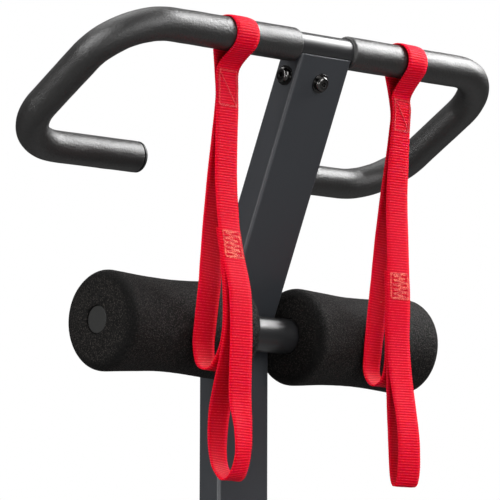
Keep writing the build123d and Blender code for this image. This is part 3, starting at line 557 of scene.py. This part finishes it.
# ---- assist straps ------------------------------------------------------------------------
# Places on the webbing's middle line: millimetres behind the bar's axis, below it and sideways,
# then the turn in degrees. The front layer runs down from the ring, round the long loop and up
# again; the back layer runs from the ring round the short loop.
STRAPS = {
    "left": {
        "x": -0.116,
        "upper": (31, 72),
        "lower": (191, 223),
        "front": ((10, 31, 0, 1), (12, 52, 0, 1), (12, 72, 0, 1), (13, 110, 0, 2),
                  (13, 143, 0, 2), (10, 178, 0, 3), (8, 191, 0, 4), (5, 205, 0, 4),
                  (1, 223, 0, 2), (-7, 253, 0, 2), (-9, 292, 0, 2), (-8, 336, 0, 1),
                  (-8, 360, 0, 1), (-12, 388, 0, 12), (-12, 412, 0, 17), (-5, 431, 0, 16),
                  (5, 437, 0, 15), (15, 431, 0, 15), (22, 418, 0, 14), (24, 396, 0, 9),
                  (20, 363, 0, 3), (6, 316, 0, 3), (0, 290, 0, 3), (-1, 260, 0, 2),
                  (3, 223, 0, 2), (7, 205, 0, 4), (10, 191, 0, 4)),
        "back": ((13, 52, 0, 1), (14, 72, 0, 1), (18, 98, 0, 1), (25, 142, 0, 2),
                 (29, 181, -1, 2), (30, 221, -4, 2), (30, 246, -6, 2), (34, 280, -7, 2),
                 (37, 305, -7, 3), (33, 325, -6, 6), (20, 328, -3, 5), (8, 310, 0, 3),
                 (2, 285, 0, 3), (2, 255, 0, 3), (5, 223, 0, 2), (9, 205, 0, 4),
                 (12, 191, 0, 4)),
    },
    "right": {
        "x": 0.126,
        "upper": (35, 73),
        "lower": (214, 246),
        "front": ((5, 33, 0, 5), (5, 49, 0, 6), (7, 73, 0, 6), (10, 105, 0, 1),
                  (12, 141, 0, -1), (11, 183, 0, -3), (10, 214, 0, -3), (9, 246, 0, -3),
                  (10, 286, 0, -3), (7, 322, 0, -5), (0, 358, 0, -1), (-4, 382, 0, -1),
                  (-5, 402, 0, -2), (-4, 420, 0, -4), (-1, 432, 0, -4), (4, 434, 0, -1),
                  (8, 422, 0, 0), (10, 388, 0, 0), (12, 347, 0, 0), (12, 300, 0, -1),
                  (11, 246, 0, -3), (12, 214, 0, -3)),
        "back": ((8, 49, 0, 5), (10, 73, 0, 5), (15, 105, 0, 2), (22, 141, 0, 1),
                 (28, 181, -1, 1), (32, 224, -4, 5), (35, 264, -7, 6), (39, 298, -8, 9),
                 (40, 318, -8, 11), (33, 331, -5, 11), (22, 327, -2, 8), (16, 308, 0, 3),
                 (14, 275, 0, -1), (13, 246, 0, -3), (14, 214, 0, -3)),
    },
}


def ring_over_bar(join, layer):
    """Places from the stitching, up behind the bar, over it and down to the stitching again."""
    radius = 1000 * (GRIP_R + RING_GAP + WEB_T / 2)
    target = Vector((join[0] + layer / 2, -join[1]))
    reach = math.acos(radius / target.length)
    towards = math.atan2(target.y, target.x)
    start, end = towards + reach, towards - reach + 2 * math.pi
    places, steps = [], 20
    for i in range(steps + 1):
        a = start + (end - start) * i / steps
        places.append((radius * math.cos(a), -radius * math.sin(a), 0, join[3]))
    return places


def ribbon_frames(x, places):
    """(middle, width direction, normal, run, drop) every eighth of a rib along the webbing."""
    step = RIB_PITCH / 8
    points = [Vector((back, drop, side)) for back, drop, side, _ in places]
    turns = [Vector((turn, 0, 0)) for *_, turn in places]
    line, turning = smooth_pair(points, turns, 1000 * step)
    middles = [BAR + Vector((x + p.z / 1000, p.x / 1000, -p.y / 1000)) for p in line]
    last = len(line) - 1
    frames = []
    for i, (middle, turn) in enumerate(zip(middles, turning)):
        tangent = (middles[min(i + 1, last)] - middles[max(i - 1, 0)]).normalized()
        width = Matrix.Rotation(math.radians(turn.x), 3, "Z") @ Vector((1, 0, 0))
        width = (width - tangent * width.dot(tangent)).normalized()
        frames.append((middle, width, tangent.cross(width).normalized(), i * step, line[i].y))
    return frames


def ribbon(frames):
    """Closed ribbed webbing on the frames: (verts, faces, uvs)."""
    half, across = WEB_W / 2, 7
    around = 2 * across
    verts, uvs = [], []
    for middle, width, normal, run, _ in frames:
        wave = math.sin(run * 2 * math.pi / RIB_PITCH)
        edge = half + EDGE_WAVE * wave + noise.noise(middle * 60.0) * EDGE_WOBBLE
        curl = noise.noise(Vector((middle.z * 14.0, middle.x * 30.0, 4.0))) * WEB_CURL
        for face in (1, -1):
            for k in range(across):
                u = face * (2 * k / (across - 1) - 1)
                rim = 1 - 0.55 * abs(u) ** 8
                thick = (WEB_T / 2 - RIB_H + RIB_H * wave * face) * rim
                bow = curl * (u * u - 0.4)
                verts.append(middle + width * (edge * u) + normal * (face * thick + bow))
                uvs.append((u * half, run))
    faces = ring_faces(len(frames), around)
    faces.append(tuple(range(around)))
    faces.append(tuple((len(frames) - 1) * around + k for k in range(around)))
    return verts, faces, uvs


def add_stitch(verts, faces, centre, way, up, half, radius):
    """One bean-shaped thread."""
    across = way.cross(up).normalized()
    base, around, rings = len(verts), 8, 5
    for i in range(rings):
        t = -1 + 2 * i / (rings - 1)
        r = radius * math.sqrt(max(1 - t * t * 0.92, 0.05))
        arch = up * (radius * 0.7 * (1 - t * t))
        for k in range(around):
            a = 2 * math.pi * k / around
            verts.append(centre + way * (t * half) + arch
                         + (across * math.cos(a) + up * math.sin(a)) * r)
    faces += [tuple(base + v for v in f) for f in ring_faces(rings, around)]
    faces.append(tuple(base + k for k in range(around)))
    faces.append(tuple(base + (rings - 1) * around + k for k in range(around)))


def sew(verts, faces, frames, top, bottom, dense):
    """Box stitching with one diagonal, or with a dense zigzag inside, between two drops."""
    zone = [f for f in frames if top <= f[4] <= bottom]
    if zone[0][4] > zone[-1][4]:
        zone.reverse()
    half = WEB_W / 2 - SEW_SIDE_INSET
    height = (zone[0][0] - zone[-1][0]).length
    low, high = SEW_INSET / height, 1 - SEW_INSET / height
    corners = [(-half, low), (half, low), (half, high), (-half, high)]
    lines = list(zip(corners, corners[1:] + corners[:1]))
    lines += [(corners[0], corners[2])] if not dense else zigzag(half, low, high)

    def at(u, v):
        place = v * (len(zone) - 1)
        i = min(int(place), len(zone) - 2)
        mid = zone[i][0].lerp(zone[i + 1][0], place - i)
        return mid + zone[i][1] * u + zone[i][2] * (WEB_T / 2 + STITCH_LIFT)

    near = 0.01
    for shift in SEW_PASSES:
        for (u0, v0), (u1, v1) in lines:
            length = math.hypot(u1 - u0, (v1 - v0) * height)
            count = max(2, round(length / STITCH_PITCH))
            for i in range(count):
                mid = (i + 0.5) / count
                wobble = shift + random.uniform(-STITCH_WOBBLE, STITCH_WOBBLE)
                v = v0 + (v1 - v0) * mid + wobble / height
                u = u0 + (u1 - u0) * mid + wobble
                centre = at(u, v)
                way = (at(u + (u1 - u0) * near, v + (v1 - v0) * near) - centre).normalized()
                up = zone[min(int(v * len(zone)), len(zone) - 1)][2]
                add_stitch(verts, faces, centre, way, up, STITCH_PITCH * STITCH_SHARE, STITCH_R)


def zigzag(half, low, high, turns=11):
    """Short strokes from side to side, down the stitched box."""
    marks = [((-1) ** i * half * random.uniform(0.6, 1.0), low + (high - low) * i / turns)
             for i in range(turns + 1)]
    return list(zip(marks, marks[1:]))


def assist_strap(name):
    """One run of webbing: short loop behind, ring over the bar, long loop in front."""
    spec, body = STRAPS[name], f"strap_{name}"
    ring = ring_over_bar(spec["front"][0], WEB_T * 1000)
    run = ribbon_frames(spec["x"], list(spec["back"][::-1]) + ring + list(spec["front"]))
    verts, faces, uvs = ribbon(run)
    obj = new_object(f"webbing_{name}", verts, faces, MATERIALS["webbing"], uvs=uvs)
    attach(obj, body)
    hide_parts(body)

    top = max(range(len(run)), key=lambda i: run[i][0].z)
    behind, down = run[:top], run[top:]
    front_leg = [f for f in down if f[2].y < 0]
    half = len(behind) // 2
    for level, back_leg, dense in (("upper", behind[half:], False), ("lower", behind[:half], True)):
        threads, thread_faces = [], []
        for leg in (front_leg, back_leg):
            sew(threads, thread_faces, leg, *spec[level], dense)
        sewn = new_object(f"{level}_stitching_{name}", threads, thread_faces, THREADS[level])
        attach(sewn, body)


# ---- hip pads -----------------------------------------------------------------------------
def rounded_slab(low, high, corner, edge, name):
    """Closed cushion blank: rounded in plan, rounded along its top edge."""
    mesh = bmesh.new()
    bmesh.ops.create_cube(mesh, size=1.0)
    for v in mesh.verts:
        v.co = Vector([(low[i] + high[i]) / 2 + v.co[i] * (high[i] - low[i]) for i in range(3)])
    upright = [e for e in mesh.edges if abs(e.verts[0].co.z - e.verts[1].co.z) > 0.01]
    bmesh.ops.bevel(mesh, geom=upright, offset=corner, segments=10, affect="EDGES", profile=0.5)
    top = [e for e in mesh.edges if min(v.co.z for v in e.verts) > high[2] - 1e-5]
    bmesh.ops.bevel(mesh, geom=top, offset=edge, segments=6, affect="EDGES", profile=0.5)
    data = bpy.data.meshes.new(name)
    mesh.to_mesh(data)
    mesh.free()
    obj = bpy.data.objects.new(name, data)
    bpy.context.scene.collection.objects.link(obj)
    return obj


def apply_modifiers(obj):
    graph = bpy.context.evaluated_depsgraph_get()
    done = bpy.data.meshes.new_from_object(obj.evaluated_get(graph))
    obj.modifiers.clear()
    obj.data = done


def puff(obj, floor_z, voxel=0.005, frames=20, cap=0.0045):
    """Swell a cushion blank by cloth pressure; its flat underside stays on the board.

    No point moves further than the cap, in metres."""
    remesh = obj.modifiers.new("remesh", "REMESH")
    remesh.mode = "VOXEL"
    remesh.voxel_size = voxel
    apply_modifiers(obj)
    rest = [v.co.copy() for v in obj.data.vertices]
    held = obj.vertex_groups.new(name="held")
    held.add([v.index for v in obj.data.vertices if v.co.z < floor_z + 0.004], 1.0, "REPLACE")
    cloth = obj.modifiers.new("cloth", "CLOTH")
    cloth.settings.quality = 6
    cloth.settings.mass = 0.3
    cloth.settings.tension_stiffness = 25
    cloth.settings.compression_stiffness = 25
    cloth.settings.use_pressure = True
    cloth.settings.uniform_pressure_force = 4.0
    cloth.settings.effector_weights.gravity = 0.0
    cloth.settings.vertex_group_mass = "held"
    cloth.point_cache.frame_start = 1
    cloth.point_cache.frame_end = frames
    scene = bpy.context.scene
    for f in range(1, frames + 1):
        scene.frame_set(f)
    apply_modifiers(obj)
    for v, start in zip(obj.data.vertices, rest):
        move = v.co - start
        if move.length > cap:
            v.co = start + move * (cap / move.length)
    scene.frame_set(1)


def outline_at(obj, z, centre, rays):
    """Points where a level plane meets the cushion's side, found by rays from its middle."""
    points = []
    for i in range(rays):
        a = 2 * math.pi * i / rays
        way = Vector((math.cos(a), math.sin(a), 0))
        hit, place, _, _ = obj.ray_cast(Vector((centre.x, centre.y, z)) + way * 0.5, -way)
        if hit:
            points.append(place.copy())
    return points


def piping(name, points):
    """Closed cord through the points."""
    around, verts, count = 12, [], len(points)
    for i, place in enumerate(points):
        tangent = (points[(i + 1) % count] - points[i - 1]).normalized()
        side = tangent.cross(Vector((0, 0, 1))).normalized()
        up = side.cross(tangent).normalized()
        for k in range(around):
            a = 2 * math.pi * k / around
            verts.append(place + (side * math.cos(a) + up * math.sin(a)) * PIPING_R)
    faces = ring_faces(count, around, closed_run=True)
    obj = new_object(name, verts, faces, MATERIALS["vinyl"])
    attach(obj, "pad_carriage")


def hip_pad(name):
    """Upholstered pad with a seam line round its side, piping on it and a seam each way."""
    low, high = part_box(f"pad_{name}")
    start_low = Vector((low.x + PAD_INSET, low.y + PAD_INSET, low.z))
    start_high = Vector((high.x - PAD_INSET, high.y - PAD_INSET, high.z - PAD_TOP_INSET))
    obj = rounded_slab(start_low, start_high, PAD_CORNER, PAD_EDGE, f"hip_pad_{name}")
    puff(obj, low.z)
    smooth = obj.modifiers.new("smooth", "SMOOTH")
    smooth.iterations = 4
    smooth.factor = 0.5
    subdivide = obj.modifiers.new("subdivide", "SUBSURF")
    subdivide.levels = subdivide.render_levels = 1
    apply_modifiers(obj)
    seam_z = high.z - SEAM_DEPTH
    for v in obj.data.vertices:
        v.co.z = max(v.co.z, low.z)
        depth = abs(v.co.z - seam_z)
        centre = Vector(((low.x + high.x) / 2, (low.y + high.y) / 2, v.co.z))
        if depth < SEAM_REACH:
            sink = SEAM_SINK * math.cos(depth / SEAM_REACH * math.pi / 2)
            v.co += (centre - v.co).normalized() * sink
        ripple = noise.noise(v.co * 22.0) * PAD_RIPPLE
        v.co += (v.co - centre).normalized() * ripple
    obj.data.materials.clear()
    obj.data.materials.append(MATERIALS["vinyl"])
    for polygon in obj.data.polygons:
        polygon.use_smooth = True
    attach(obj, "pad_carriage")
    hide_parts(f"pad_{name}")
    bpy.context.view_layer.update()
    centre = (low + high) / 2
    piping(f"pad_piping_{name}", outline_at(obj, seam_z, centre, 120))
    for shift in (-SEAM_SHIFT, SEAM_SHIFT):
        seam = outline_at(obj, seam_z + shift, centre, 300)
        pad_stitches(f"pad_seam_{name}_{'upper' if shift > 0 else 'lower'}", seam)


def pad_stitches(name, ring):
    """A thread over every second gap between the ring's points."""
    verts, faces, count = [], [], len(ring)
    for i in range(0, count - 1, 2):
        a, b = ring[i], ring[(i + 1) % count]
        way = (b - a).normalized()
        out = way.cross(Vector((0, 0, 1))).normalized()
        middle = (a + b) / 2 + out * PAD_STITCH_LIFT
        half = (b - a).length * STITCH_SHARE
        add_stitch(verts, faces, middle, way, out, half, PAD_STITCH_R)
    sewn = new_object(name, verts, faces, MATERIALS["moulded_plastic"])
    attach(sewn, "pad_carriage")


for side_name, side_sign in SIDES:
    foam_roller(side_name, side_sign)
    foam_grip(side_name, side_sign)
    assist_strap(side_name)
    hip_pad(side_name)


# ---- stage, light and camera --------------------------------------------------------------
FOCUS = BAR.lerp(AXLE, 0.5)
# Soft boxes: name, offset from FOCUS in metres, width, height and power in watts.
LIGHTS = (
    ("right_top", (1.45, -0.45, 1.15), 1.0, 1.1, 66),
    ("overhead", (-0.2, 0.7, 2.0), 2.0, 1.6, 22),
    ("front", (0.2, -2.9, 0.9), 1.8, 2.0, 66),
    ("low_fill", (-1.4, -2.3, -0.6), 1.5, 0.8, 20),
    ("left", (-3.0, 0.3, 0.7), 1.6, 2.2, 98),
)
# Place in metres; heading to the right of +Y, tilt up and roll in degrees; lens in mm.
CAMERA_PLACE = Vector((-2.6757, -3.1676, 0.5589))
CAMERA_TURN = (44.239, 6.364, 0.183)
CAMERA_LENS = 273.1


def stage_floor(size=60.0):
    """Pale floor that fades to the white of the background away from the object."""
    mesh = bpy.data.meshes.new("floor")
    corners = [(-size, -size, 0), (size, -size, 0), (size, size, 0), (-size, size, 0)]
    mesh.from_pydata(corners, [], [(0, 1, 2, 3)])
    fade_start, fade_end = 0.9, 3.2
    m = Nodes("stage_white")
    pale = m.mix(m.noise(0.6), (0.60, 0.60, 0.60), (0.62, 0.62, 0.62))
    seen = m.add("ShaderNodeLightPath").outputs["Is Camera Ray"]
    distance = m.add("ShaderNodeVectorMath", operation="LENGTH")
    m.link(m.coords, distance.inputs[0])
    away = m.add("ShaderNodeMapRange", interpolation_type="SMOOTHSTEP", From_Min=fade_start,
                 From_Max=fade_end)
    m.link(distance.outputs["Value"], away.inputs["Value"])
    glow = m.math("MULTIPLY", seen, away.outputs["Result"])
    m.link(glow, m.shader.inputs["Emission Strength"])
    m.shader.inputs["Emission Color"].default_value = (1, 1, 1, 1)
    mesh.materials.append(m.finish(m.mix(seen, (0.16, 0.16, 0.16), pale), 0.9))
    floor = bpy.data.objects.new("floor", mesh)
    bpy.context.scene.collection.objects.link(floor)


def area_light(name, offset, width, height, power):
    """Soft box at an offset from FOCUS, facing it and unseen by the camera."""
    lamp = bpy.data.lights.new(name, "AREA")
    lamp.shape = "RECTANGLE"
    lamp.size, lamp.size_y = width, height
    lamp.energy = power
    obj = bpy.data.objects.new(name, lamp)
    obj.location = FOCUS + Vector(offset)
    obj.rotation_euler = (-Vector(offset)).to_track_quat("-Z", "Y").to_euler()
    obj.visible_camera = False
    bpy.context.scene.collection.objects.link(obj)


def world_light():
    """White to the camera; a dimmer wrap with a darker horizon for reflections and fill."""
    world = bpy.data.worlds.new("studio")
    world.use_nodes = True
    tree = world.node_tree
    background = tree.nodes["Background"]
    path = tree.nodes.new("ShaderNodeLightPath")
    mix = tree.nodes.new("ShaderNodeMix")
    mix.data_type = "RGBA"
    coords = tree.nodes.new("ShaderNodeTexCoord")
    split = tree.nodes.new("ShaderNodeSeparateXYZ")
    ramp = tree.nodes.new("ShaderNodeValToRGB")
    ramp.color_ramp.elements[0].position = 0.55
    ramp.color_ramp.elements[0].color = (0.04, 0.04, 0.042, 1)
    ramp.color_ramp.elements[1].position = 0.95
    ramp.color_ramp.elements[1].color = (0.5, 0.5, 0.5, 1)
    shift = tree.nodes.new("ShaderNodeMapRange")
    shift.inputs["From Min"].default_value = -1.0
    tree.links.new(coords.outputs["Generated"], split.inputs[0])
    tree.links.new(split.outputs["Z"], shift.inputs["Value"])
    tree.links.new(shift.outputs["Result"], ramp.inputs["Fac"])
    tree.links.new(path.outputs["Is Camera Ray"], mix.inputs[0])
    tree.links.new(ramp.outputs["Color"], mix.inputs[6])
    mix.inputs[7].default_value = (1.0, 1.0, 1.0, 1)
    tree.links.new(mix.outputs[2], background.inputs["Color"])
    bpy.context.scene.world = world


def long_lens_camera():
    """Long lens, low and to the front left, tilted a little upwards."""
    yaw, pitch, roll = (math.radians(degrees) for degrees in CAMERA_TURN)
    forward = Vector((math.sin(yaw) * math.cos(pitch), math.cos(yaw) * math.cos(pitch),
                      math.sin(pitch)))
    right = Vector((math.cos(yaw), -math.sin(yaw), 0))
    up = right.cross(forward)
    turned_right = right * math.cos(roll) + up * math.sin(roll)
    turned_up = up * math.cos(roll) - right * math.sin(roll)
    data = bpy.data.cameras.new("camera")
    data.lens = CAMERA_LENS
    data.sensor_width = 36.0
    data.clip_end = 200.0
    camera = bpy.data.objects.new("camera", data)
    basis = Matrix((turned_right, turned_up, -forward)).transposed().to_4x4()
    basis.translation = CAMERA_PLACE
    camera.matrix_world = basis
    bpy.context.scene.collection.objects.link(camera)
    bpy.context.scene.camera = camera


stage_floor()
world_light()
for light in LIGHTS:
    area_light(*light)
long_lens_camera()
bpy.context.scene.view_settings.view_transform = "Standard"
bpy.context.scene.view_settings.look = "None"
